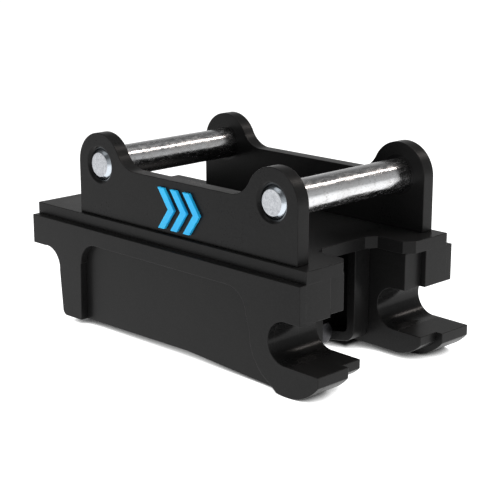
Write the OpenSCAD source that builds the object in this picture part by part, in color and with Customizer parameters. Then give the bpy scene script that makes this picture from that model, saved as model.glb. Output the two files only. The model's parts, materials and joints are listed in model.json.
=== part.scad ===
// Quick coupler: a welded adapter frame. Two fixed pins on top are picked up by the
// machine's hitch; two open hooks and a screw-drawn pair of lock bolts below hold a tool.
// +X points forward (the way the hooks open), +Z up. The origin is the centre of the
// bounding box on the ground.

/* [Upper interface] */
// Centre distance of the two upper pins
pin_spacing = 300; // [280:1:360]
// Diameter of the upper pins
pin_d = 40; // [30:1:50]
// Clear width between the ears
ear_gap = 200; // [160:1:210]
// Thickness of one ear
ear_t = 18; // [12:1:22]
// Height of the upper pins above the deck
pin_rise = 66; // [54:1:80]
// Radius of the ear round each pin
ear_r = 40; // [36:1:48]
// Radius of the hollow between a pin boss and the saddle
saddle_r = 35; // [20:1:45]
// Shift of the upper pins forward of the middle of the body
pin_shift = 18; // [0:1:20]

/* [Lower interface] */
// Centre distance of the tool's two pins
hook_spacing = 430; // [400:1:520]
// Diameter of the tool's pins
tool_pin_d = 50; // [42:1:60]
// Radial room round a tool pin
throat_gap = 0.4; // [0.1:0.1:1]
// Steel below the front throat
hook_wall = 36; // [30:1:44]
// Width over the two hooks
body_w = 268; // [262:1:324]
// Height of the lower body up to the deck's underside
body_h = 132; // [126:1:160]
// Distance from the front throat's centre to the lip
lip_reach = 51; // [44:1:62]
// Distance from the front throat's centre to the jaw's front face
jaw_reach = 23; // [16:1:28]
// Distance from the rear seat's centre to the rear face
rear_reach = 29; // [24:1:40]
// Height of the rear seat's centre above the front throat's centre
seat_rise = 7.5; // [4:0.5:9]

/* [Plates] */
// Thickness of the deck
deck_t = 15; // [10:1:20]
// Thickness of the outer side plate
side_t = 10; // [6:1:12]
// Thickness of the main hook plate
hook_t = 40; // [30:1:44]
// Thickness of the inner hook plate
inner_t = 30; // [20:1:32]
// How far the inner plate's jaw stands back
inner_setback = 7; // [4:1:14]
// How far the inner plate's lip stands back
lip_setback = 9; // [4:1:14]
// Thickness of the bent front wraps
wrap_t = 12; // [8:1:16]
// Width of the slot between the front wraps
slot_w = 55; // [44:1:62]
// Depth of the deck's front notch
notch_l = 56; // [44:1:66]
// Slope of the wraps' feet under the box, in degrees
wrap_slope = 9.5; // [0:0.5:12]
// Height of the body's underside above the ground
keel_z = 7; // [4:1:9]
// Width of the rear leg, front to back
leg_w = 43; // [34:1:60]

/* [Lock] */
// Diameter of a lock bolt
bolt_d = 28; // [24:1:30]
// Half the distance between the two lock bolts
bolt_y = 33; // [32:0.5:35]
// Travel of the lock bolts
lock_travel = 48; // [40:1:50]
// Wall of a bolt bush
bush_t = 3.5; // [2.5:0.5:4]
// Front-to-back length of the rear crossmember
cross_l = 60; // [44:1:66]
// Thickness of the crosshead
head_t = 24; // [18:1:30]
// Diameter of the spindle
spindle_d = 16; // [12:1:17]
// Width across the flats of the spindle's hexagon
hex_af = 24; // [19:1:27]
// Thickness of the thrust plate
thrust_t = 16; // [12:1:20]
// Wire diameter of the lock spring
wire_d = 3.5; // [2:0.5:3.5]
// Thickness of the bottom cover
cover_t = 5; // [3:1:6]

/* [Hidden] */
$fn = 96;

// Clearances
run_gap = 0.05;    // a shaft turning or sliding in its bush
press_gap = 0.01;  // a pin or bush held fast in its hole
free_gap = 0.5;    // a screw or stud in a plain hole
guide_gap = 2;     // the crosshead between the inner plates
weld_gap = 0.3;    // a cross plate between the inner plates, filled by its weld
blend = 0.05;      // how far a rounding cuts past the faces it blends

// Lower body, side view
body_l = rear_reach + hook_spacing + lip_reach;
rear_x = -body_l / 2;
lip_x = body_l / 2;
seat_x = rear_x + rear_reach;
throat_x = seat_x + hook_spacing;
jaw_x = throat_x + jaw_reach;
throat_r = tool_pin_d / 2 + throat_gap;
hook_shift = [3, 0.5];
hook_r = throat_r + hook_wall + 0.6;
hook_x = throat_x + hook_shift[0];
throat_z = hook_r - hook_shift[1];
seat_r = throat_r;
seat_z = throat_z + seat_rise;
seat_cut = 0.5;
lip_fall = 2;
leg_slant = 4;
leg_x = seat_x + seat_r + leg_slant;
leg_round = 8;
leg_arc = [176, 270];
keel_rise = 3;
keel_x = throat_x - 171;
mouth_trim = 0.1;
hook_join = [5, 0.7];
inner_thin = 8;

// Lower body, seen from the front
plate_y = body_w / 2 - side_t;
inner_y = plate_y - hook_t;
bay_y = inner_y - inner_t;

// Deck and ears
notch_y = bay_y - 2;
notch_x = jaw_x - notch_l;
notch_mouth = [10, 12];
notch_corner = [8, 14];
deck_z = body_h + deck_t;
pin_z = deck_z + pin_rise;
pin_x = [pin_shift - pin_spacing / 2, pin_shift + pin_spacing / 2];
ear_y = ear_gap / 2;
pin_l = ear_gap + 2 * ear_t;
pin_chamfer = 5;
sink_w = 3.4;

// Side pocket
pocket_x = leg_x + leg_w - leg_slant;
pocket_z = body_h - 20.5;
pocket_back_r = 28;
pocket_front_r = 30;
pocket_wall = 4;
pocket_draft = [1, 2.5];
pocket_edge_r = hook_r - pocket_wall;
pocket_front_x = hook_x - pocket_edge_r - 6;
pocket_step_z = throat_z + 22;
pocket_toe = [30, 48, 8];
below = -5;

// Front wraps
wrap_back = 13.2;
wrap_x = throat_x - throat_r - wrap_back;
wrap_r = 18;
wrap_l = 50;
wrap_turn = 90 - wrap_slope;
wrap_lap = 4;
wrap_toe = [wrap_x - wrap_l, keel_z + 1.75];
wrap_centre = [wrap_x - wrap_r,
    wrap_toe[1] + (wrap_l - wrap_r) * tan(wrap_slope) + wrap_r / cos(wrap_slope)];

// Lock bolts and what they run in
bolt_r = bolt_d / 2;
bolt_clear = 0.3;
bolt_z = seat_z - tool_pin_d / 2 - bolt_r - bolt_clear;
bush_r = bolt_r + run_gap + bush_t;
cross_x = leg_x + 1;
cross_z = bolt_z + bush_r + 8;
web_x = cross_x + 14;
web_t = 24;
grease_r = 3;
grease_bore_r = 2;
wiper_gap = 0.3;
mid_x = -8;
mid_t = 14;
mid_z = bolt_z + bolt_r + 14;
wiper_t = 5;
nose_x = leg_x - lock_travel;
nose_l = 12;
nose_r = bolt_r - 4;

// Crosshead, at rest with the bolts locked
head_x = cross_x + cross_l + 22;
head_z = [keel_z + cover_t + 2, bolt_z + bolt_r + 1];
stud_r = 10;
washer_t = 3;
nut_t = 16;
nut_af = 30;
stud_l = head_t + washer_t + nut_t + 3;

// Spindle and its bearing
spindle_r = spindle_d / 2;
thrust_x = wrap_x - wrap_l - thrust_t - 4;
thrust_z = bolt_z + 28;
bearing_r = spindle_r + run_gap + 3;
flange_r = bearing_r + 3;
flange_t = 2;
collar_t = 10;
collar_r = flange_r;
end_play = 0.1;
hex_l = 26;
washer_r = flange_r;
spindle_x = cross_x + cross_l + 6;
collar_x = thrust_x - flange_t - washer_t - collar_t - end_play;
shoulder_x = thrust_x + thrust_t + washer_t + end_play;
shoulder_t = 4;
nut_body_r = spindle_r + 6;
nut_flange_r = spindle_r + 8.5;
nut_flange_t = 5;
collar_pin_r = 2.5;

// Spring
spring_ri = spindle_r + 1.4;
spring_r = spring_ri + wire_d / 2;
seat_t = 4;
spring_x = [head_x + head_t + seat_t, collar_x];
spring_turns = 11;

// Bottom cover
cover_x = [cross_x + cross_l + 1, wrap_x - wrap_l - 1];
cover_side_gap = 1;
screw_r = 4;
screw_thread = cover_t + 17;
screw_head = [6, 7];
screw_head_h = 4;
socket_r = 2.9;
socket_h = 2.5;
lug_h = 8;
rear_lug = [15, 30];
side_lug = [16, 13];
mid_lug_x = 24;
rear_screw = [cover_x[0] + 7, 9];
mid_screw = [mid_lug_x, bay_y - side_lug[1] / 2];
front_screw = [thrust_x + thrust_t / 2, bay_y - 12];
cover_holes = [for (h = [rear_screw, mid_screw, front_screw], side = [1, -1]) [h[0], side * h[1]]];

// Grease nipples, from the top down: shank, hexagon, head
nipple_shank = 3;
nipple_hex = [4, 2];
nipple_head = [1.8, 2.4];

// Badge
badge_step = 22;
badge_wide = 11;
badge_high = 50;
badge_lean = 18;
badge_drop = 35;
badge_t = 4;

black = [0.12, 0.12, 0.13];
steel = [0.75, 0.76, 0.78];
bronze = [0.72, 0.52, 0.24];
dark_rubber = [0.07, 0.07, 0.07];
zinc = [0.68, 0.68, 0.64];
blue = [0.1, 0.6, 0.95];

function arc(c, r, from, to, n) =
    [for (i = [0:n]) c + r * [cos(from + (to - from) * i / n), sin(from + (to - from) * i / n)]];

// An outline drawn in X and Z, made t thick from y towards +Y
module upright(y, t) {
    translate([0, y + t, 0])
        rotate([90, 0, 0])
            linear_extrude(t)
                children();
}

// A round bar along X, from x0 to x1
module bar_x(x0, x1, y, z, r) {
    translate([x0, y, z])
        rotate([0, 90, 0])
            cylinder(r = r, h = x1 - x0);
}

// A bar along X that tapers from r0 to r1
module taper_x(x0, x1, y, z, r0, r1) {
    translate([x0, y, z])
        rotate([0, 90, 0])
            cylinder(r1 = r0, r2 = r1, h = x1 - x0);
}

// A hexagonal bar along X with two flats level
module hex_x(x0, x1, y, z, af) {
    translate([x0, y, z])
        rotate([0, 90, 0])
            rotate([0, 0, 30])
                cylinder(r = af / 2 / cos(30), h = x1 - x0, $fn = 6);
}

// Left is +Y; the right-hand piece is its mirror image
module on_side(side) {
    if (side > 0)
        children();
    else
        mirror([0, 1, 0])
            children();
}

// ---------------------------------------------------------------- deck and ears

module top_plate() {
    mouth_x = jaw_x - notch_mouth[0];
    mouth_y = notch_y + notch_mouth[1];
    corner_x = notch_x + notch_corner[0];
    corner_y = notch_y - notch_corner[1];
    color(black)
        translate([0, 0, body_h])
            linear_extrude(deck_t)
                polygon([
                    [rear_x, plate_y], [rear_x, -plate_y],
                    [jaw_x, -plate_y], [jaw_x, -mouth_y],
                    [mouth_x, -notch_y], [corner_x, -notch_y],
                    [notch_x, -corner_y], [notch_x, corner_y],
                    [corner_x, notch_y], [mouth_x, notch_y],
                    [jaw_x, mouth_y], [jaw_x, plate_y]]);
}

module ear_outline() {
    reach = sqrt(pow(ear_r + saddle_r, 2) - pow(saddle_r, 2));
    back = pin_x[0] + reach;
    front = pin_x[1] - reach;
    difference() {
        union() {
            for (x = pin_x)
                translate([x, pin_z])
                    circle(r = ear_r);
            difference() {
                polygon([
                    [pin_x[0] - ear_r, deck_z], [pin_x[1] + ear_r, deck_z],
                    [pin_x[1] + ear_r, pin_z], [pin_x[1], pin_z],
                    [front, pin_z + saddle_r], [front, pin_z],
                    [back, pin_z], [back, pin_z + saddle_r],
                    [pin_x[0], pin_z], [pin_x[0] - ear_r, pin_z]]);
                for (x = [back, front])
                    translate([x, pin_z + saddle_r])
                        circle(r = saddle_r + blend);
            }
        }
        for (x = pin_x)
            translate([x, pin_z])
                circle(r = pin_d / 2 + press_gap);
    }
}

module ear(side) {
    hole_r = pin_d / 2 + press_gap;
    color(black)
        on_side(side)
            difference() {
                upright(ear_y, ear_t)
                    ear_outline();
                for (x = pin_x)
                    translate([x, ear_y + ear_t - sink_w, pin_z])
                        rotate([-90, 0, 0])
                            cylinder(r1 = hole_r, r2 = hole_r + sink_w + 1, h = sink_w + 1);
            }
}

module cross_pin(x) {
    r = pin_d / 2;
    color(steel)
        translate([x, -pin_l / 2, pin_z])
            rotate([-90, 0, 0]) {
                cylinder(r1 = r - pin_chamfer, r2 = r, h = pin_chamfer);
                translate([0, 0, pin_chamfer])
                    cylinder(r = r, h = pin_l - 2 * pin_chamfer);
                translate([0, 0, pin_l - pin_chamfer])
                    cylinder(r1 = r, r2 = r - pin_chamfer, h = pin_chamfer);
            }
}

// ---------------------------------------------------------------- hooks

// Side view of a hook plate: jaw and lip are its front faces, r the hook's outer radius
module hook_outline(jaw, lip, r) {
    mouth = throat_r - mouth_trim;
    past_lip = lip_x + hook_r;
    difference() {
        union() {
            polygon(concat(
                [[rear_x, body_h], [rear_x, seat_z + seat_r - seat_cut],
                 [seat_x, seat_z + seat_r - seat_cut], [seat_x, seat_z],
                 [seat_x + seat_r - seat_cut, seat_z]],
                arc([leg_x + leg_round, keel_z + leg_round], leg_round,
                    leg_arc[0], leg_arc[1], 6),
                [[keel_x, keel_z + keel_rise],
                 [hook_x - hook_join[0], hook_r - r + hook_join[1]],
                 [hook_x, throat_z], [jaw, throat_z], [jaw, body_h]]));
            intersection() {
                translate([hook_x, hook_r])
                    circle(r = r);
                translate([hook_x - 2 * r, -1])
                    square([lip - hook_x + 2 * r, throat_z + 1]);
            }
        }
        translate([seat_x, seat_z])
            circle(r = seat_r);
        translate([throat_x, throat_z])
            circle(r = throat_r);
        polygon([
            [throat_x, throat_z + mouth], [past_lip, throat_z + mouth],
            [past_lip, throat_z - mouth - lip_fall], [throat_x, throat_z - mouth]]);
    }
}

// A concave quarter for rounding a pocket's upper corner; toward is +1 or -1 along X
module corner(x, z, r, toward) {
    difference() {
        translate([toward > 0 ? x - 1 : x - r, z - r])
            square([r + 1, r + 1]);
        translate([x + toward * r, z - r])
            circle(r = r);
    }
}

module pocket_outline() {
    top_x = pocket_x + pocket_draft[1];
    difference() {
        polygon([
            [pocket_x - pocket_draft[0], below], [top_x, pocket_z],
            [pocket_front_x, pocket_z], [pocket_front_x, pocket_step_z],
            [hook_x - pocket_edge_r + 1, throat_z], [hook_x - pocket_toe[0], throat_z],
            [hook_x - pocket_toe[0], throat_z - pocket_toe[1]],
            [hook_x - pocket_toe[2], below]]);
        translate([hook_x, hook_r])
            circle(r = pocket_edge_r);
        corner(top_x, pocket_z, pocket_back_r, 1);
        corner(pocket_front_x, pocket_z, pocket_front_r, -1);
    }
}

module hook_plate(side) {
    color(black)
        on_side(side)
            upright(inner_y, hook_t)
                hook_outline(jaw_x, lip_x, hook_r);
}

module side_plate(side) {
    color(black)
        on_side(side)
            upright(plate_y, side_t)
                difference() {
                    hook_outline(jaw_x, lip_x, hook_r);
                    pocket_outline();
                }
}

module inner_plate(side) {
    color(black)
        on_side(side)
            upright(bay_y, inner_t)
                hook_outline(jaw_x - inner_setback, lip_x - lip_setback, hook_r - inner_thin);
}

// A bent plate: it stands at the front of the box and turns back under it, sloping down
module wrap_outline() {
    inner_r = wrap_r - wrap_t;
    toe_t = wrap_t / cos(wrap_slope);
    foot = [cos(-wrap_turn), sin(-wrap_turn)];
    root = [cos(wrap_lap - wrap_turn), sin(wrap_lap - wrap_turn)];
    difference() {
        union() {
            polygon([
                wrap_toe, wrap_centre + wrap_r * foot,
                wrap_centre + (wrap_r - 1) * root, wrap_centre + (inner_r + 1) * root,
                wrap_centre + inner_r * foot, wrap_toe + [0, toe_t]]);
            translate([wrap_x - wrap_t, wrap_centre[1]])
                square([wrap_t, body_h - wrap_centre[1]]);
            intersection() {
                translate(wrap_centre)
                    circle(r = wrap_r);
                polygon([
                    wrap_centre, wrap_centre + [2 * wrap_r, 0],
                    wrap_centre + [2 * wrap_r, -2 * wrap_r], wrap_centre + 2 * wrap_r * foot]);
            }
        }
        translate(wrap_centre)
            circle(r = inner_r);
    }
}

module front_wrap(side) {
    lip_y = slot_w / 2;
    color(black)
        on_side(side)
            upright(lip_y, bay_y - lip_y - weld_gap)
                wrap_outline();
}

// ---------------------------------------------------------------- cross members

module cross_block(x, l, z0, z1) {
    translate([x, -bay_y + weld_gap, z0])
        cube([l, 2 * (bay_y - weld_gap), z1 - z0]);
}

module rear_crossmember() {
    color(black)
        difference() {
            union() {
                cross_block(cross_x, cross_l, keel_z, cross_z);
                cross_block(web_x, web_t, cross_z - 1, body_h);
            }
            for (y = [-bolt_y, bolt_y])
                bar_x(cross_x - 1, cross_x + cross_l + 1, y, bolt_z, bush_r + press_gap);
            for (y = [-bolt_y, bolt_y])
                translate([cross_x + cross_l / 2, y, keel_z - 1])
                    cylinder(r = grease_r, h = bolt_z - keel_z);
        }
}

module mid_crossmember() {
    color(black)
        cross_block(mid_x, mid_t, mid_z, body_h);
}

module thrust_plate() {
    color(black)
        difference() {
            cross_block(thrust_x, thrust_t, keel_z + cover_t, thrust_z);
            bar_x(thrust_x - 1, thrust_x + thrust_t + 1, 0, bolt_z, bearing_r + press_gap);
            for (side = [-1, 1])
                translate([front_screw[0], side * front_screw[1], keel_z])
                    cylinder(r = screw_r + press_gap, h = screw_thread);
        }
}

// ---------------------------------------------------------------- lock bolts

module bolt_bush(side) {
    color(bronze)
        difference() {
            bar_x(cross_x + wiper_t, cross_x + cross_l, side * bolt_y, bolt_z, bush_r);
            bar_x(cross_x, cross_x + cross_l + 1, side * bolt_y, bolt_z, bolt_r + run_gap);
            translate([cross_x + cross_l / 2, side * bolt_y, bolt_z - bush_r - 1])
                cylinder(r = grease_bore_r, h = bush_t + 3);
        }
}

module bolt_wiper(side) {
    color(dark_rubber)
        difference() {
            bar_x(cross_x, cross_x + wiper_t - 0.1, side * bolt_y, bolt_z, bush_r);
            bar_x(cross_x - 1, cross_x + wiper_t + 1, side * bolt_y, bolt_z, bolt_r + wiper_gap);
        }
}

module lock_bolt(side) {
    y = side * bolt_y;
    color(steel) {
        taper_x(nose_x, nose_x + nose_l, y, bolt_z, nose_r, bolt_r);
        bar_x(nose_x + nose_l, head_x, y, bolt_z, bolt_r);
        bar_x(head_x, head_x + stud_l, y, bolt_z, stud_r);
    }
}

module crosshead() {
    half_w = bay_y - guide_gap;
    color(zinc)
        difference() {
            translate([head_x, -half_w, head_z[0]])
                cube([head_t, 2 * half_w, head_z[1] - head_z[0]]);
            for (y = [-bolt_y, bolt_y])
                bar_x(head_x - 1, head_x + head_t + 1, y, bolt_z, stud_r + press_gap);
            bar_x(head_x - 1, head_x + head_t + 1, 0, bolt_z, nut_body_r + press_gap);
        }
}

module bolt_washers() {
    x = head_x + head_t;
    color(zinc)
        for (y = [-bolt_y, bolt_y])
            difference() {
                bar_x(x, x + washer_t, y, bolt_z, nut_af / 2 + 1);
                bar_x(x - 1, x + washer_t + 1, y, bolt_z, stud_r + free_gap);
            }
}

module bolt_nuts() {
    x = head_x + head_t + washer_t;
    color(zinc)
        for (y = [-bolt_y, bolt_y])
            difference() {
                hex_x(x, x + nut_t, y, bolt_z, nut_af);
                bar_x(x - 1, x + nut_t + 1, y, bolt_z, stud_r + press_gap);
            }
}

// ---------------------------------------------------------------- spindle

module spindle() {
    pin_hole_x = collar_x + collar_t / 2;
    color(steel)
        difference() {
            union() {
                bar_x(spindle_x, shoulder_x, 0, bolt_z, spindle_r);
                bar_x(shoulder_x, shoulder_x + shoulder_t, 0, bolt_z, washer_r);
                hex_x(shoulder_x + shoulder_t, shoulder_x + shoulder_t + hex_l, 0, bolt_z, hex_af);
            }
            translate([pin_hole_x, 0, bolt_z - spindle_r - 1])
                cylinder(r = collar_pin_r + press_gap, h = 2 * spindle_r + 2);
        }
}

module spindle_nut() {
    color(bronze)
        difference() {
            union() {
                bar_x(head_x - nut_flange_t, head_x, 0, bolt_z, nut_flange_r);
                bar_x(head_x, head_x + head_t, 0, bolt_z, nut_body_r);
            }
            bar_x(head_x - nut_flange_t - 1, head_x + head_t + 1, 0, bolt_z, spindle_r + run_gap);
        }
}

module spindle_bush() {
    color(bronze)
        difference() {
            union() {
                bar_x(thrust_x - flange_t, thrust_x, 0, bolt_z, flange_r);
                bar_x(thrust_x, thrust_x + thrust_t, 0, bolt_z, bearing_r);
            }
            bar_x(thrust_x - flange_t - 1, thrust_x + thrust_t + 1, 0, bolt_z, spindle_r + run_gap);
        }
}

module thrust_washers() {
    color(zinc)
        for (x = [thrust_x - flange_t - washer_t, thrust_x + thrust_t])
            difference() {
                bar_x(x, x + washer_t, 0, bolt_z, washer_r);
                bar_x(x - 1, x + washer_t + 1, 0, bolt_z, spindle_r + run_gap);
            }
}

module spindle_collar() {
    color(zinc)
        difference() {
            bar_x(collar_x, collar_x + collar_t, 0, bolt_z, collar_r);
            bar_x(collar_x - 1, collar_x + collar_t + 1, 0, bolt_z, spindle_r + press_gap);
            translate([collar_x + collar_t / 2, 0, bolt_z - collar_r - 1])
                cylinder(r = collar_pin_r + press_gap, h = 2 * collar_r + 2);
        }
}

module collar_pin() {
    color(steel)
        translate([collar_x + collar_t / 2, 0, bolt_z - collar_r + 0.5])
            cylinder(r = collar_pin_r, h = 2 * collar_r - 1);
}

module spring_seat() {
    x = head_x + head_t;
    color(zinc)
        difference() {
            bar_x(x, x + seat_t, 0, bolt_z, spring_r + wire_d / 2);
            bar_x(x - 1, x + seat_t + 1, 0, bolt_z, spindle_r + 0.4);
        }
}

// A round wire wound about the spindle, with six sides
module lock_spring() {
    sides = 6;
    steps = 12 * spring_turns;
    x0 = spring_x[0] + wire_d / 2;
    length = spring_x[1] - spring_x[0] - wire_d;
    points = [for (i = [0:steps], s = [0:sides - 1])
        let (turn = 360 * spring_turns * i / steps,
             out = spring_r + wire_d / 2 * cos(360 * s / sides),
             along = wire_d / 2 * sin(360 * s / sides))
        [x0 + length * i / steps + along, out * cos(turn), bolt_z + out * sin(turn)]];
    sides_of = [for (i = [0:steps - 1], s = [0:sides - 1], half = [0, 1])
        let (a = i * sides + s, b = i * sides + (s + 1) % sides)
        half == 0 ? [a, b, b + sides] : [a, b + sides, a + sides]];
    ends = [[for (s = [sides - 1:-1:0]) s], [for (s = [0:sides - 1]) steps * sides + s]];
    color(zinc)
        polyhedron(points, concat(sides_of, ends), convexity = 10);
}

// ---------------------------------------------------------------- cover and small parts

module bottom_cover() {
    color(black)
        difference() {
            translate([cover_x[0], cover_side_gap - bay_y, keel_z])
                cube([cover_x[1] - cover_x[0], 2 * (bay_y - cover_side_gap), cover_t]);
            for (h = cover_holes)
                translate([h[0], h[1], keel_z - 1])
                    cylinder(r = screw_r + free_gap, h = cover_t + 2);
        }
}

module cover_lugs() {
    z = keel_z + cover_t;
    rear_x0 = cover_x[0] - 1;
    color(black)
        difference() {
            union() {
                translate([rear_x0, -rear_lug[1] / 2, z])
                    cube([rear_lug[0], rear_lug[1], lug_h]);
                for (side = [-1, 1])
                    translate([mid_screw[0], side * mid_screw[1], z + lug_h / 2 + 1])
                        cube([side_lug[0], side_lug[1], lug_h + 2], center = true);
            }
            for (h = cover_holes)
                translate([h[0], h[1], z - 1])
                    cylinder(r = screw_r + press_gap, h = lug_h + 4);
        }
}

module cover_screws() {
    color(zinc)
        for (h = cover_holes)
            translate([h[0], h[1], 0]) {
                translate([0, 0, keel_z])
                    cylinder(r = screw_r, h = cover_t + lug_h - 1);
                difference() {
                    translate([0, 0, keel_z - screw_head_h])
                        cylinder(r1 = screw_head[0], r2 = screw_head[1], h = screw_head_h);
                    translate([0, 0, keel_z - screw_head_h - 1])
                        cylinder(r = socket_r, h = socket_h + 1, $fn = 6);
                }
            }
}

module grease_nipples() {
    color(zinc)
        for (y = [-bolt_y, bolt_y])
            translate([cross_x + cross_l / 2, y, 0]) {
                translate([0, 0, keel_z])
                    cylinder(r = grease_r - press_gap, h = nipple_shank);
                translate([0, 0, keel_z - nipple_hex[1]])
                    cylinder(r = nipple_hex[0], h = nipple_hex[1], $fn = 6);
                translate([0, 0, keel_z - nipple_hex[1] - nipple_shank])
                    cylinder(r1 = nipple_head[0], r2 = nipple_head[1], h = nipple_shank);
            }
}

// Three raised chevrons that point forward
module badge() {
    half = badge_high / 2;
    left = pin_shift - badge_step - (badge_wide + badge_lean) / 2;
    color(blue)
        translate([left, -ear_y - ear_t, pin_z - badge_drop])
            rotate([90, 0, 0])
                linear_extrude(badge_t)
                    for (i = [0:2])
                        translate([i * badge_step, 0])
                            polygon([
                                [0, half], [badge_wide, half], [badge_wide + badge_lean, 0],
                                [badge_wide, -half], [0, -half], [badge_lean, 0]]);
}

top_plate();
ear(1);  // left_ear
ear(-1);  // right_ear
cross_pin(pin_x[1]);  // front_pin
cross_pin(pin_x[0]);  // rear_pin
hook_plate(1);  // left_hook_plate
hook_plate(-1);  // right_hook_plate
side_plate(1);  // left_side_plate
side_plate(-1);  // right_side_plate
inner_plate(1);  // left_inner_plate
inner_plate(-1);  // right_inner_plate
front_wrap(1);  // left_front_wrap
front_wrap(-1);  // right_front_wrap
rear_crossmember();
mid_crossmember();
thrust_plate();
bolt_bush(1);  // left_bolt_bush
bolt_bush(-1);  // right_bolt_bush
bolt_wiper(1);  // left_bolt_wiper
bolt_wiper(-1);  // right_bolt_wiper
lock_bolt(1);  // left_lock_bolt
lock_bolt(-1);  // right_lock_bolt
crosshead();
bolt_washers();
bolt_nuts();
spindle();
spindle_nut();
spindle_bush();
thrust_washers();
spindle_collar();
collar_pin();
lock_spring();
spring_seat();
bottom_cover();
cover_lugs();
cover_screws();
grease_nipples();
badge();
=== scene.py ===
import json
import math

import bmesh
import bpy
from mathutils import Matrix, Vector, kdtree


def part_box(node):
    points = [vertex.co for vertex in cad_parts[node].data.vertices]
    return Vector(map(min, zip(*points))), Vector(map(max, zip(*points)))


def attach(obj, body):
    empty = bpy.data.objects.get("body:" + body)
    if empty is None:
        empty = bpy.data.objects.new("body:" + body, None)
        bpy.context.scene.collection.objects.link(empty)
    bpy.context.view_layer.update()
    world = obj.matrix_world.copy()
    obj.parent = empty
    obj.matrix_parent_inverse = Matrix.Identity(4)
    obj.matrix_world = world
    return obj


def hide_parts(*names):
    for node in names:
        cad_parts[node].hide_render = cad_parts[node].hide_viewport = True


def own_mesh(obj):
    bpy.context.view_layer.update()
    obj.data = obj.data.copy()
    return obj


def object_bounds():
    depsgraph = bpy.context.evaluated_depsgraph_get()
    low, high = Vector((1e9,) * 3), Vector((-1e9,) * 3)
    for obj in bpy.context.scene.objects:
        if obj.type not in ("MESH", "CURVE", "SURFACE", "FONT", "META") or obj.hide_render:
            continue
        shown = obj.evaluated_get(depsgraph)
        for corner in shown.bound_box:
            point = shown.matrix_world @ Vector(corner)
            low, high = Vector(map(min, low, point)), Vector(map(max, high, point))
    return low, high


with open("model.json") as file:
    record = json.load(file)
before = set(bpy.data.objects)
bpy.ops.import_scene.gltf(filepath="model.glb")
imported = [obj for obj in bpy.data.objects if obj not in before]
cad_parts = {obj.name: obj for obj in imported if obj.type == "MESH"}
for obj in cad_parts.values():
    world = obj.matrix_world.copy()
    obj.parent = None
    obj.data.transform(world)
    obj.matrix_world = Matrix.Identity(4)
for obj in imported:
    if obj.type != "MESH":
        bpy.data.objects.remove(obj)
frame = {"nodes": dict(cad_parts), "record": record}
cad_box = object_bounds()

MM = 0.001
NODES = frame["nodes"]

# Places of the pins and of the front hooks' throat, from the frame
PIN_BOXES = [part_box(name) for name in ("front_pin", "rear_pin")]
PIN_AXES = [((low[0] + high[0]) / 2, (low[2] + high[2]) / 2) for low, high in PIN_BOXES]
PIN_END = PIN_BOXES[0][1][1]
HOOK_SEAT = next(m for m in frame["record"]["mounts"] if m["name"] == "front_hook_seat")
THROAT_AXIS = (HOOK_SEAT["pos_m"][0], HOOK_SEAT["pos_m"][2])

# Sizes that repeat the CAD's
PIN_CHAMFER = 5 * MM
SINK_R = 23.7 * MM
THROAT_R = 26 * MM
SPINDLE_R = 8 * MM
SPINDLE_TIP = 1.5 * MM
END_PLAY = 0.1 * MM
SHOULDER_T = 4 * MM
HEX_AF = 24 * MM
STUD_HOLE_R = 10.01 * MM
WIRE_R = 1.75 * MM
SPRING_MEAN_R = 11.15 * MM
SPRING_TURNS = 11


# ---------------------------------------------------------------- camera, floor and light

LENS_MM = 99.27
SENSOR_MM = 36.0
VIEW_AZIMUTH = math.radians(45.23)
VIEW_ELEVATION = math.radians(14.85)
VIEW_DISTANCE = 1.700
VIEW_SHIFT = Vector((0.0328, -0.0171, -0.0113))
CLIP = (0.05, 200.0)
STRIP = {
    "centre": (1.25, 2.6, 2.75), "target": (0.10, 0, 0.2), "length": 5.0, "width": 0.35,
    "radiance": 9.0, "colour": (1.0, 0.92, 0.87)}
# Pairs of (sine of the elevation, level)
SKY_LEVELS = [(0.0, 0.60), (0.12, 0.56), (0.35, 0.46), (0.50, 0.26), (0.60, 0.14), (0.76, 0.14),
              (0.86, 0.80), (1.0, 2.60)]
FLOOR_R = 40.0
# Pairs of (distance from the glow's centre, level)
FLOOR_GLOW = [(0.0, 1.45), (1.0, 1.36), (2.0, 1.06), (8.0, 1.0), (FLOOR_R, 0.58)]
FLOOR_GLOW_CENTRE = (0.35, 0.10)
FLOOR_GLOW_TOP = 2.0
CONTACT_REACH = 0.03
CONTACT_SAMPLES = 24
# The openness of the floor at which its shade is full, and at which it is gone
CONTACT_FADE = (0.08, 0.36)
# What is left of the glow in full shade
SHADED = 0.01
# The belly's shade: its middle and half its size along X and Y, and how wide its soft edge is
SHADE_MIDDLE = (-0.022, 0.080)
SHADE_HALF = (0.158, 0.034)
SHADE_SOFT = 0.006


def aim(obj, target):
    obj.rotation_euler = (Vector(target) - obj.location).to_track_quat("-Z", "Y").to_euler()


def add_camera():
    low, high = Vector(cad_box[0]), Vector(cad_box[1])
    target = (low + high) / 2 + VIEW_SHIFT
    away = Vector((
        math.sin(VIEW_AZIMUTH) * math.cos(VIEW_ELEVATION),
        -math.cos(VIEW_AZIMUTH) * math.cos(VIEW_ELEVATION),
        math.sin(VIEW_ELEVATION)))
    data = bpy.data.cameras.new("camera")
    data.sensor_width = SENSOR_MM
    data.lens = LENS_MM
    data.clip_start, data.clip_end = CLIP
    cam = bpy.data.objects.new("camera", data)
    bpy.context.scene.collection.objects.link(cam)
    cam.location = target + VIEW_DISTANCE * away
    aim(cam, target)
    bpy.context.scene.camera = cam


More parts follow.
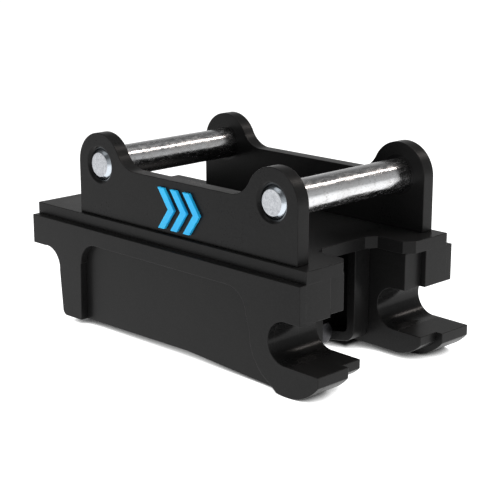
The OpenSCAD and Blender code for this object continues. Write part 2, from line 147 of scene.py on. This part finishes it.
def add_strip_light(name, centre, target, length, width, radiance, colour):
    """A long lamp that lies along Y, facing the line along Y through target."""
    data = bpy.data.lights.new(name, "AREA")
    data.shape = "RECTANGLE"
    data.size, data.size_y = length, width
    data.energy = radiance * math.pi * length * width
    data.color = colour
    light = bpy.data.objects.new(name, data)
    bpy.context.scene.collection.objects.link(light)
    away = Vector((centre[0] - target[0], 0, centre[2] - target[2])).normalized()
    along = Vector((0, 1, 0))
    turn = Matrix((along, away.cross(along), away)).transposed()
    light.matrix_world = Matrix.Translation(centre) @ turn.to_4x4()


def add_world():
    """Soft studio surroundings: pale at the horizon, a dark band, and a bright patch overhead."""
    world = bpy.data.worlds.new("studio")
    bpy.context.scene.world = world
    world.use_nodes = True
    tree = world.node_tree
    tree.nodes.clear()
    out = tree.nodes.new("ShaderNodeOutputWorld")
    back = tree.nodes.new("ShaderNodeBackground")
    ramp = tree.nodes.new("ShaderNodeValToRGB")
    split = tree.nodes.new("ShaderNodeSeparateXYZ")
    coord = tree.nodes.new("ShaderNodeTexCoord")
    tree.links.new(coord.outputs["Generated"], split.inputs[0])
    tree.links.new(split.outputs["Z"], ramp.inputs[0])
    tree.links.new(ramp.outputs["Color"], back.inputs["Color"])
    tree.links.new(back.outputs[0], out.inputs[0])
    ramp.color_ramp.elements[0].position = SKY_LEVELS[0][0]
    ramp.color_ramp.elements[1].position = SKY_LEVELS[-1][0]
    for place, _ in SKY_LEVELS[1:-1]:
        ramp.color_ramp.elements.new(place)
    for element, (_, level) in zip(ramp.color_ramp.elements, SKY_LEVELS):
        element.color = (level, level, level, 1)


def floor_glow(s):
    """How much the floor shines, by the distance from FLOOR_GLOW_CENTRE."""
    away = s.tree.nodes.new("ShaderNodeVectorMath")
    away.operation = "DISTANCE"
    away.inputs[1].default_value = (*FLOOR_GLOW_CENTRE, 0)
    s.link(s.coord.outputs["Object"], away.inputs[0])
    curve = s.tree.nodes.new("ShaderNodeFloatCurve")
    points = curve.mapping.curves[0].points
    while len(points) < len(FLOOR_GLOW):
        points.new(0.5, 0.5)
    for point, (distance, level) in zip(points, FLOOR_GLOW):
        point.location = (math.sqrt(distance / FLOOR_R), level / FLOOR_GLOW_TOP)
    curve.mapping.update()
    share = s.maths("DIVIDE", away.outputs["Value"], FLOOR_R)
    s.link(s.maths("SQRT", share, 0.0), curve.inputs["Value"])
    return s.maths("MULTIPLY", curve.outputs[0], FLOOR_GLOW_TOP)


def contact_shade(s):
    """Near 0 on the floor close under the object, and 1 elsewhere."""
    contact = s.tree.nodes.new("ShaderNodeAmbientOcclusion")
    contact.samples = CONTACT_SAMPLES
    contact.inputs["Distance"].default_value = CONTACT_REACH
    return s.spread(contact.outputs["AO"], *CONTACT_FADE, SHADED, 1.0)


def belly_shade(s):
    """Near 0 on the floor under the object's far side, and 1 elsewhere."""
    at = s.place()
    edges = []
    for i, (middle, half) in enumerate(zip(SHADE_MIDDLE, SHADE_HALF)):
        off = s.maths("ABSOLUTE", s.maths("SUBTRACT", at[i], middle), 0.0)
        edges.append(s.spread(off, half - SHADE_SOFT, half + SHADE_SOFT, SHADED, 1.0, smooth=True))
    return s.maths("MAXIMUM", *edges)


def add_floor():
    """A wide floor that is white by its own glow, and dark only under the object."""
    mesh = bpy.data.meshes.new("floor")
    bm = bmesh.new()
    bmesh.ops.create_circle(bm, cap_ends=True, segments=96, radius=FLOOR_R)
    bm.to_mesh(mesh)
    bm.free()
    floor = bpy.data.objects.new("floor", mesh)
    bpy.context.scene.collection.objects.link(floor)
    s = Shader("floor_white")
    s.set(Base_Color=(0.12, 0.12, 0.12), Roughness=0.9, Specular_IOR_Level=0.1,
          Emission_Color=(1.0, 1.0, 1.0))
    light = s.maths("MULTIPLY", floor_glow(s), contact_shade(s))
    light = s.maths("MULTIPLY", light, belly_shade(s))
    s.link(light, s.bsdf.inputs["Emission Strength"])
    mesh.materials.append(s.mat)


# ---------------------------------------------------------------- materials

class Shader:
    """One node material, with short ways to add what all of them use."""

    def __init__(self, name):
        self.mat = bpy.data.materials.new(name)
        self.mat.use_nodes = True
        self.tree = self.mat.node_tree
        self.bsdf = self.tree.nodes["Principled BSDF"]
        self.coord = self.tree.nodes.new("ShaderNodeTexCoord")

    def set(self, **values):
        for name, value in values.items():
            socket = self.bsdf.inputs[name.replace("_", " ")]
            socket.default_value = (*value, 1) if isinstance(value, tuple) else value

    def link(self, a, b):
        self.tree.links.new(a, b)

    def noise(self, scale, detail=3.0, rough=0.5, stretch=(1, 1, 1), warp=0.0):
        """A noise over the object's own coordinates; scale is features per metre."""
        mapping = self.tree.nodes.new("ShaderNodeMapping")
        mapping.inputs["Scale"].default_value = stretch
        self.link(self.coord.outputs["Object"], mapping.inputs["Vector"])
        node = self.tree.nodes.new("ShaderNodeTexNoise")
        node.inputs["Scale"].default_value = scale
        node.inputs["Detail"].default_value = detail
        node.inputs["Roughness"].default_value = rough
        node.inputs["Distortion"].default_value = warp
        self.link(mapping.outputs[0], node.inputs["Vector"])
        return node.outputs["Fac"]

    def spread(self, value, low, high, to_low, to_high, smooth=False):
        """Maps low..high of value to to_low..to_high, held at both ends."""
        node = self.tree.nodes.new("ShaderNodeMapRange")
        node.interpolation_type = "SMOOTHSTEP" if smooth else "LINEAR"
        node.inputs["From Min"].default_value = low
        node.inputs["From Max"].default_value = high
        node.inputs["To Min"].default_value = to_low
        node.inputs["To Max"].default_value = to_high
        self.link(value, node.inputs["Value"])
        return node.outputs["Result"]

    def maths(self, kind, a, b):
        """The result of one operation on a and b; each is a number or a socket."""
        node = self.tree.nodes.new("ShaderNodeMath")
        node.operation = kind
        for socket, value in zip(node.inputs, (a, b)):
            if isinstance(value, (int, float)):
                socket.default_value = value
            else:
                self.link(value, socket)
        return node.outputs[0]

    def mix(self, factor, a, b):
        """Mixes two colours; each is three numbers or a socket."""
        node = self.tree.nodes.new("ShaderNodeMix")
        node.data_type = "RGBA"
        self.link(factor, node.inputs[0])
        for socket, value in zip((node.inputs[6], node.inputs[7]), (a, b)):
            if isinstance(value, tuple):
                socket.default_value = (*value, 1)
            else:
                self.link(value, socket)
        return node.outputs[2]

    def place(self):
        """The sockets of X, Y and Z over the object's own coordinates, in metres."""
        split = self.tree.nodes.new("ShaderNodeSeparateXYZ")
        self.link(self.coord.outputs["Object"], split.inputs[0])
        return split.outputs

    def from_axis(self, x, z):
        """Distance from a line along Y through x and z."""
        at = self.place()
        dx = self.maths("SUBTRACT", at["X"], x)
        dz = self.maths("SUBTRACT", at["Z"], z)
        square = self.maths("ADD", self.maths("MULTIPLY", dx, dx), self.maths("MULTIPLY", dz, dz))
        return self.maths("SQRT", square, 0.0)

    def edge_mask(self, radius):
        """Near 1 within about radius of a sharp edge, 0 on flats."""
        bevel = self.tree.nodes.new("ShaderNodeBevel")
        bevel.samples = 4
        bevel.inputs["Radius"].default_value = radius
        geo = self.tree.nodes.new("ShaderNodeNewGeometry")
        dot = self.tree.nodes.new("ShaderNodeVectorMath")
        dot.operation = "DOT_PRODUCT"
        self.link(bevel.outputs[0], dot.inputs[0])
        self.link(geo.outputs["Normal"], dot.inputs[1])
        return self.spread(dot.outputs["Value"], 0.995, 0.90, 0.0, 1.0)

    def colour(self, socket):
        self.link(socket, self.bsdf.inputs["Base Color"])

    def rough(self, socket):
        self.link(socket, self.bsdf.inputs["Roughness"])

    def bump(self, *layers):
        """Each layer is (height socket, its depth in metres)."""
        normal = None
        for height, depth in layers:
            node = self.tree.nodes.new("ShaderNodeBump")
            node.inputs["Strength"].default_value = 1.0
            node.inputs["Distance"].default_value = depth
            self.link(height, node.inputs["Height"])
            if normal is not None:
                self.link(normal, node.inputs["Normal"])
            normal = node.outputs[0]
        self.link(normal, self.bsdf.inputs["Normal"])


def black_paint(name, gloss, sinks):
    """Satin black powder coat: fine orange peel, soft clouds of gloss, and a painted highlight that
    lightens the edges in patches.

    sinks are round spots about lines along Y, each (x, z, radius, share of the roughness)."""
    s = Shader(name)
    s.set(Specular_IOR_Level=0.115)
    clouds = s.noise(9.0, detail=4.0, rough=0.6)
    grain = s.noise(420.0, detail=2.0)
    peel = s.noise(900.0, detail=2.0)
    # Painted highlight: edge picks out the sharp edges in patches, where the colour is painted
    # lighter
    edge = s.maths("MULTIPLY", s.edge_mask(1.4 * MM), s.spread(s.noise(60.0), 0.45, 0.62, 0.0, 1.0))
    base = s.mix(s.spread(clouds, 0.35, 0.65, 0.0, 1.0),
                 (0.0080, 0.0080, 0.0082), (0.0106, 0.0105, 0.0104))
    base = s.mix(s.spread(grain, 0.42, 0.70, 0.0, 0.35), base, (0.018, 0.018, 0.018))
    # Painted highlight: the edges get a lighter colour
    base = s.mix(s.maths("MULTIPLY", edge, 0.35), base, (0.048, 0.047, 0.046))
    s.colour(base)
    rough = s.spread(clouds, 0.3, 0.7, 0.29 - gloss, 0.38 - gloss)
    rough = s.maths("ADD", rough, s.spread(grain, 0.3, 0.7, -0.03, 0.03))
    for x, z, reach, share in sinks:
        polish = s.spread(s.from_axis(x, z), reach, reach + MM, share, 1.0)
        rough = s.maths("MULTIPLY", rough, polish)
    s.rough(rough)
    s.bump((peel, 0.03 * MM), (clouds, 0.6 * MM))
    return s.mat


def bare_steel(name):
    """Bright plated bar along Y: mottled by shallow dents, duller sawn ends, polished chamfers."""
    base = (0.66, 0.668, 0.68)
    along = (1, 0.35, 1)
    s = Shader(name)
    s.set(Metallic=1.0)
    mottle = s.noise(260.0, detail=5.0, rough=0.62, stretch=along, warp=0.4)
    fine = s.noise(1400.0, detail=2.0, stretch=along)
    stain = s.noise(38.0, detail=4.0, rough=0.65)
    flecks = s.noise(620.0, detail=3.0, rough=0.6, stretch=along)
    tint = s.mix(s.spread(stain, 0.40, 0.66, 0.0, 1.0), base,
                 tuple(v * w for v, w in zip(base, (0.90, 0.885, 0.87))))
    tint = s.mix(s.spread(mottle, 0.56, 0.74, 0.0, 0.55), tint, (0.42, 0.41, 0.40))
    tint = s.mix(s.spread(flecks, 0.57, 0.68, 0.0, 0.55), tint, (0.30, 0.295, 0.29))
    end = s.maths("ABSOLUTE", s.place()["Y"], 0.0)
    face = s.spread(end, PIN_END - 0.3 * MM, PIN_END - 0.05 * MM, 0.0, 1.0)
    sawn = s.noise(340.0, detail=6.0, rough=0.7, warp=1.2)
    dull = s.mix(s.spread(sawn, 0.40, 0.62, 0.0, 1.0), (0.58, 0.595, 0.62), (0.36, 0.375, 0.40))
    tint = s.mix(face, tint, dull)
    bevelled = s.spread(end, PIN_END - PIN_CHAMFER - 0.2 * MM, PIN_END - PIN_CHAMFER, 0.0, 1.0)
    bevelled = s.maths("SUBTRACT", bevelled, face)
    tint = s.mix(s.maths("MULTIPLY", bevelled, 0.8), tint, (0.52, 0.58, 0.64))
    s.colour(tint)
    rough = s.spread(mottle, 0.35, 0.68, 0.13, 0.32)
    rough = s.maths("ADD", rough, s.spread(stain, 0.4, 0.7, -0.03, 0.05))
    rough = s.maths("ADD", rough, s.maths("MULTIPLY", face, 0.22))
    rough = s.maths("SUBTRACT", rough, s.maths("MULTIPLY", bevelled, 0.08))
    s.rough(rough)
    s.bump((mottle, 0.13 * MM), (fine, 0.015 * MM))
    return s.mat


def machined(name, base, rough, stretch=(1, 0.06, 0.06)):
    """Turned or milled metal: fine tool marks, drawn out by stretch, with light staining."""
    s = Shader(name)
    s.set(Metallic=1.0)
    marks = s.noise(2600.0, detail=3.0, stretch=stretch)
    stain = s.noise(70.0, detail=4.0, rough=0.6)
    dark = tuple(v * 0.72 for v in base)
    s.colour(s.mix(s.spread(stain, 0.42, 0.68, 0.0, 1.0), base, dark))
    level = s.spread(stain, 0.35, 0.7, *rough)
    s.rough(s.maths("ADD", level, s.spread(marks, 0.3, 0.7, -0.05, 0.05)))
    s.bump((marks, 0.02 * MM), (stain, 0.05 * MM))
    return s.mat


def seal_rubber(name):
    """Matt black rubber with a little pale dust."""
    s = Shader(name)
    s.set(Specular_IOR_Level=0.35)
    dust = s.noise(240.0, detail=4.0)
    s.colour(s.mix(
        s.spread(dust, 0.5, 0.72, 0.0, 1.0), (0.012, 0.012, 0.012), (0.04, 0.038, 0.036)))
    s.rough(s.spread(dust, 0.3, 0.7, 0.55, 0.75))
    s.bump((s.noise(1500.0), 0.03 * MM))
    return s.mat


def blue_badge(name):
    """Bright blue enamel with a soft gloss and faint orange peel."""
    s = Shader(name)
    s.set(Specular_IOR_Level=0.3)
    clouds = s.noise(55.0, detail=3.0)
    s.colour(s.mix(s.spread(clouds, 0.35, 0.65, 0.0, 1.0), (0.020, 0.52, 1.0), (0.030, 0.58, 1.0)))
    s.rough(s.spread(clouds, 0.3, 0.7, 0.30, 0.42))
    s.bump((s.noise(800.0), 0.02 * MM))
    return s.mat


# ---------------------------------------------------------------- CAD nodes

WELD = 0.002 * MM
SHARP = math.radians(28)
STRAIGHT = math.radians(35)
FLAT = math.radians(0.2)
SAMPLE_STEP = 2 * MM
TOUCH = 0.05 * MM
NEAR = 0.01 * MM
# The share of the usual bevel that a flush seam gets
SEAM_SHARE = 0.05


def sharp_edges(obj):
    """The node's edges where its faces meet at an angle, as pairs of points."""
    bm = bmesh.new()
    bm.from_mesh(obj.data)
    bmesh.ops.remove_doubles(bm, verts=bm.verts, dist=WELD)
    found = [
        (edge.verts[0].co.copy(), edge.verts[1].co.copy())
        for edge in bm.edges
        if len(edge.link_faces) == 2 and edge.calc_face_angle(0.0) > SHARP]
    bm.free()
    return found


def flush_seams(edges):
    """Each node's sharp edges that lie along one of another node: where two plates run on."""
    rows = [(name, a, b) for name, pairs in edges.items() for a, b in pairs]
    samples = []
    for row, (_, a, b) in enumerate(rows):
        steps = max(2, round((b - a).length / SAMPLE_STEP))
        samples += [(a.lerp(b, i / steps), row) for i in range(steps + 1)]
    tree = kdtree.KDTree(len(samples))
    for i, (point, _) in enumerate(samples):
        tree.insert(point, i)
    tree.balance()

    def shared(name, point):
        for _, i, _ in tree.find_range(point, SAMPLE_STEP):
            other, a, b = rows[samples[i][1]]
            if other == name:
                continue
            along = b - a
            if along.length < TOUCH:
                continue
            t = min(1, max(0, (point - a).dot(along) / along.length_squared))
            if (a + t * along - point).length < TOUCH:
                return True
        return False

    seams = {name: set() for name in edges}
    for name, pairs in edges.items():
        for i, (a, b) in enumerate(pairs):
            if sum(shared(name, a.lerp(b, t)) for t in (0.2, 0.5, 0.8)) >= 2:
                seams[name].add(i)
        seams[name] = whole_runs(pairs, seams[name])
    return seams


def whole_runs(pairs, seams):
    """Drops a seam that another sharp edge carries straight on: a bevel can't end halfway."""
    ends = {}
    for i, (a, b) in enumerate(pairs):
        ends.setdefault(tuple(a), []).append((i, (b - a).normalized()))
        ends.setdefault(tuple(b), []).append((i, (a - b).normalized()))
    joins = [
        (i, j) for group in ends.values() for i, u in group for j, v in group
        if i != j and u.dot(v) < -math.cos(STRAIGHT)]
    seams = set(seams)
    size = None
    while size != len(seams):
        size = len(seams)
        seams -= {i for i, j in joins if j not in seams}
    return seams


def soften(obj, width, edges, seams):
    """Real rounded edges on a CAD node, as modifiers, but hardly any along a flush seam.

    The mesh keeps its shape: it only gains a weight on the edges to round."""
    mesh = obj.data
    for poly in mesh.polygons:
        poly.use_smooth = True
    tree = kdtree.KDTree(len(edges))
    for i, (a, b) in enumerate(edges):
        tree.insert((a + b) / 2, i)
    tree.balance()
    weight = mesh.attributes.new("bevel_weight_edge", "FLOAT", "EDGE")
    for edge in mesh.edges:
        a, b = (mesh.vertices[i].co for i in edge.vertices)
        _, i, off = tree.find((a + b) / 2)
        if off > NEAR or abs((b - a).length - (edges[i][1] - edges[i][0]).length) > NEAR:
            continue
        weight.data[edge.index].value = SEAM_SHARE if i in seams else 1.0
    weld = obj.modifiers.new("weld", "WELD")
    weld.merge_threshold = WELD
    flat = obj.modifiers.new("flat", "DECIMATE")
    flat.decimate_type = "DISSOLVE"
    flat.angle_limit = FLAT
    bevel = obj.modifiers.new("bevel", "BEVEL")
    bevel.width = width
    bevel.segments = 2
    bevel.limit_method = "WEIGHT"
    bevel.use_clamp_overlap = False
    normal = obj.modifiers.new("normal", "WEIGHTED_NORMAL")
    normal.keep_sharp = False
    normal.weight = 80


def dress(obj, mat):
    obj.data.materials.clear()
    obj.data.materials.append(mat)


# ---------------------------------------------------------------- detail pieces

def skin(rings, ring_closed=False):
    """A closed skin over rings of points: capped at both ends, or joined into a tube."""
    bm = bmesh.new()
    rows = [[bm.verts.new(point) for point in ring] for ring in rings]
    count = len(rows[0])
    pairs = list(zip(rows, rows[1:]))
    if ring_closed:
        pairs.append((rows[-1], rows[0]))
    else:
        bm.faces.new(reversed(rows[0]))
        bm.faces.new(rows[-1])
    for a, b in pairs:
        for i in range(count):
            j = (i + 1) % count
            bm.faces.new((a[i], a[j], b[j], b[i]))
    bmesh.ops.recalc_face_normals(bm, faces=bm.faces)
    return bm


def joined(parts):
    """One bmesh from several, which it frees."""
    whole = bmesh.new()
    for part in parts:
        scrap = bpy.data.meshes.new("scrap")
        part.to_mesh(scrap)
        part.free()
        whole.from_mesh(scrap)
        bpy.data.meshes.remove(scrap)
    return whole


def add_piece(name, bm, mat, body, replaced, sharp=32.0):
    """A visible piece from bm that rides on body and stands for the CAD node replaced."""
    mesh = bpy.data.meshes.new(name)
    bm.to_mesh(mesh)
    bm.free()
    for poly in mesh.polygons:
        poly.use_smooth = True
    mesh.set_sharp_from_angle(angle=math.radians(sharp))
    mesh.materials.append(mat)
    piece = bpy.data.objects.new(name, mesh)
    bpy.context.scene.collection.objects.link(piece)
    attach(piece, body)
    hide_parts(replaced)
    return piece


def ring_x(x, y, z, radius, count, shape=None):
    """A ring of points about a line along X; shape(turn) gives a radius that caps radius."""
    points = []
    for i in range(count):
        turn = math.tau * i / count
        r = radius if shape is None else min(radius, shape(turn))
        points.append((x, y + r * math.cos(turn), z + r * math.sin(turn)))
    return points


def hexagon(flats):
    """Radius of a hexagon at each turn, with a corner at turn 0."""
    def radius(turn):
        off = (turn % (math.tau / 6)) - math.tau / 12
        return flats / 2 / math.cos(off)
    return radius


ROUND = 72
THREAD_ROUND = 36
THREAD_PITCH = 6 * MM
THREAD_DEPTH = 0.9 * MM
THREAD_LENGTH = 92 * MM
THREAD_STEPS = 10
EASE = 0.4 * MM
BORE_LEAD = 0.8 * MM
WIRE_ROUND = 14
WIRE_STEPS = 28
# Height above the low end and radius, in mm; the hexagon's rings have no radius of their own
NIPPLE = [(0, 0.7), (0.35, 1.7), (1.0, 2.35), (1.7, 1.7), (2.3, 1.35), (3.0, 1.8), (3.0, None),
          (5.0, None), (5.0, 2.99), (8.0, 2.99)]


def hex_rings(x0, x1, y, z, flats, both_ends=True):
    """Rings of a hexagon bar whose corners are turned off at x1, and at x0 if both_ends."""
    corner = flats / math.sqrt(3)
    face = flats / 2 * 0.96
    depth = (corner - face) * math.tan(math.radians(30))
    shape = hexagon(flats)

    def turned(x, t):
        return ring_x(x, y, z, face + (corner - face) * t, ROUND, shape)

    steps = (0, 0.2, 0.45, 0.7)
    rings = [turned(x0 + depth * t, t) for t in steps] if both_ends else []
    rings.append(turned(x0 + (depth if both_ends else 0), 1))
    rings.append(turned(x1 - depth, 1))
    return rings + [turned(x1 - depth * t, t) for t in reversed(steps)]


def chamfered_nuts():
    """Both jam nuts, with their corners turned off and a chamfered bore."""
    low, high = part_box("bolt_nuts")
    flats = high[2] - low[2]
    corner = flats / math.sqrt(3)
    z = (low[2] + high[2]) / 2
    bore = [(high[0], STUD_HOLE_R + BORE_LEAD), (high[0] - BORE_LEAD, STUD_HOLE_R),
            (low[0] + BORE_LEAD, STUD_HOLE_R), (low[0], STUD_HOLE_R + BORE_LEAD)]
    nuts = []
    for y in (low[1] + corner, high[1] - corner):
        rings = hex_rings(low[0], high[0], y, z, flats)
        rings += [ring_x(x, y, z, r, ROUND) for x, r in bore]
        nuts.append(skin(rings, ring_closed=True))
    return joined(nuts)


def thread_radius(x, turn, fade):
    """A trapezoid thread: crest, flank, root, flank over one pitch."""
    t = (x / THREAD_PITCH - turn / math.tau) % 1
    depth = min(1, max(0, 2.6 - abs(t - 0.5) * 8)) * THREAD_DEPTH
    return SPINDLE_R - depth * fade


def threaded_spindle():
    """The screw: trapezoid thread at the rear, plain journal, shoulder and chamfered hexagon."""
    low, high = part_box("spindle")
    z = (low[2] + high[2]) / 2
    washers_low, washers_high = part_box("thrust_washers")
    flange = (washers_high[2] - washers_low[2]) / 2
    shoulder = washers_high[0] + END_PLAY
    hex_start = shoulder + SHOULDER_T
    start = low[0] + SPINDLE_TIP
    count = round(THREAD_LENGTH / THREAD_PITCH * THREAD_STEPS)
    rings = [ring_x(low[0], 0, z, SPINDLE_R - SPINDLE_TIP, THREAD_ROUND)]
    for i in range(count + 1):
        x = start + (THREAD_LENGTH - SPINDLE_TIP) * i / count
        fade = min(1, (count - i) / THREAD_STEPS)
        rings.append(ring_x(
            x, 0, z, SPINDLE_R, THREAD_ROUND, lambda turn: thread_radius(x, turn, fade)))
    for x, r in ((shoulder, SPINDLE_R), (shoulder, flange - EASE), (shoulder + EASE, flange),
                 (hex_start - EASE, flange), (hex_start, flange - EASE)):
        rings.append(ring_x(x, 0, z, r, THREAD_ROUND))
    # The hexagon has more points to a ring, so it is a skin of its own
    hexagon_end = hex_rings(hex_start, high[0], 0, z, HEX_AF, both_ends=False)
    return joined([skin(rings), skin(hexagon_end)])


def wound_spring():
    """The smooth wire of the CAD spring: the same coil, with a round section."""
    low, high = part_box("lock_spring")
    z = (low[2] + high[2]) / 2
    x0, x1 = low[0] + WIRE_R, high[0] - WIRE_R
    count = WIRE_STEPS * SPRING_TURNS
    rings = []
    for i in range(count + 1):
        turn = math.tau * SPRING_TURNS * i / count
        ring = []
        for k in range(WIRE_ROUND):
            around = math.tau * k / WIRE_ROUND
            out = SPRING_MEAN_R + WIRE_R * math.cos(around)
            ring.append((x0 + (x1 - x0) * i / count + WIRE_R * math.sin(around),
                         out * math.cos(turn), z + out * math.sin(turn)))
        rings.append(ring)
    return skin(rings)


def ball_nipples():
    """Grease nipples: ball head, neck, hexagon with its corners at +X and -X, and shank."""
    low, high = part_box("grease_nipples")
    x = (low[0] + high[0]) / 2
    corner = (high[0] - low[0]) / 2
    half_flats = corner * math.cos(math.pi / 6)
    shape = hexagon(2 * half_flats)
    parts = []
    for y in (low[1] + half_flats, high[1] - half_flats):
        rings = []
        for up, r in NIPPLE:
            ring = []
            for i in range(ROUND):
                turn = math.tau * i / ROUND
                reach = shape(turn) if r is None else r * MM
                ring.append((x + reach * math.cos(turn), y + reach * math.sin(turn),
                             low[2] + up * MM))
            rings.append(ring)
        parts.append(skin(rings))
    return joined(parts)


# ---------------------------------------------------------------- the object and its studio

paint = black_paint("paint_plates", 0.0, [(*THROAT_AXIS, THROAT_R, 0.62)])
paint_ear = black_paint("paint_ears", 0.02, [(*axis, SINK_R, 0.35) for axis in PIN_AXES])
steel_bar = bare_steel("steel_pins")
steel_x = machined("steel_turned_x", (0.70, 0.71, 0.72), (0.22, 0.36))
black_oxide = machined("black_oxide", (0.060, 0.060, 0.064), (0.34, 0.48))
oiled = machined("oiled_spring_steel", (0.16, 0.16, 0.17), (0.28, 0.42))
bronze = machined("bronze_turned", (0.62, 0.42, 0.17), (0.22, 0.36))
zinc = machined("zinc_plate", (0.62, 0.62, 0.58), (0.30, 0.45))
zinc_z = machined("zinc_plate_z", (0.62, 0.62, 0.58), (0.30, 0.45), stretch=(0.06, 0.06, 1))
rubber = seal_rubber("wiper_rubber")
badge_blue = blue_badge("badge_enamel")

LOOK = {
    "left_ear": paint_ear, "right_ear": paint_ear, "front_pin": steel_bar, "rear_pin": steel_bar,
    "left_bolt_bush": bronze, "right_bolt_bush": bronze,
    "left_bolt_wiper": rubber, "right_bolt_wiper": rubber,
    "left_lock_bolt": steel_x, "right_lock_bolt": steel_x, "crosshead": zinc,
    "bolt_washers": zinc, "spindle_nut": bronze, "spindle_bush": bronze,
    "thrust_washers": zinc, "spindle_collar": black_oxide, "collar_pin": black_oxide,
    "spring_seat": zinc, "cover_screws": zinc_z, "badge": badge_blue,
}
# Widths of the rounded edges, in mm
EDGE = {
    "front_pin": 0.4, "rear_pin": 0.4, "badge": 0.5, "left_bolt_bush": 0.2, "right_bolt_bush": 0.2,
    "left_bolt_wiper": 0.3, "right_bolt_wiper": 0.3, "bolt_washers": 0.3, "spindle_nut": 0.3,
    "spindle_bush": 0.2, "thrust_washers": 0.2, "spindle_collar": 0.4, "collar_pin": 0.2,
    "spring_seat": 0.3, "cover_screws": 0.2, "left_lock_bolt": 0.5, "right_lock_bolt": 0.5,
}
PLATE_EDGE = 0.8
REPLACED = ("lock_spring", "spindle", "bolt_nuts", "grease_nipples")

node_edges = {name: sharp_edges(obj) for name, obj in NODES.items() if name not in REPLACED}
plates = {name: pairs for name, pairs in node_edges.items() if name not in EDGE}
seams = flush_seams(plates)
for name, pairs in node_edges.items():
    obj = NODES[name]
    dress(obj, LOOK.get(name, paint))
    soften(obj, EDGE.get(name, PLATE_EDGE) * MM, pairs, seams.get(name, set()))

spring = add_piece(
    "spring_coil", wound_spring(), oiled, "frame", "lock_spring", sharp=50)
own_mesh(spring)
add_piece("spindle_screw", threaded_spindle(), black_oxide, "spindle", "spindle")
add_piece("jam_nuts", chamfered_nuts(), zinc, "lock_carriage", "bolt_nuts")
add_piece("ball_nipples", ball_nipples(), zinc_z, "frame", "grease_nipples")

add_camera()
add_world()
add_floor()
add_strip_light("strip", **STRIP)
bpy.context.scene.view_settings.view_transform = "Standard"
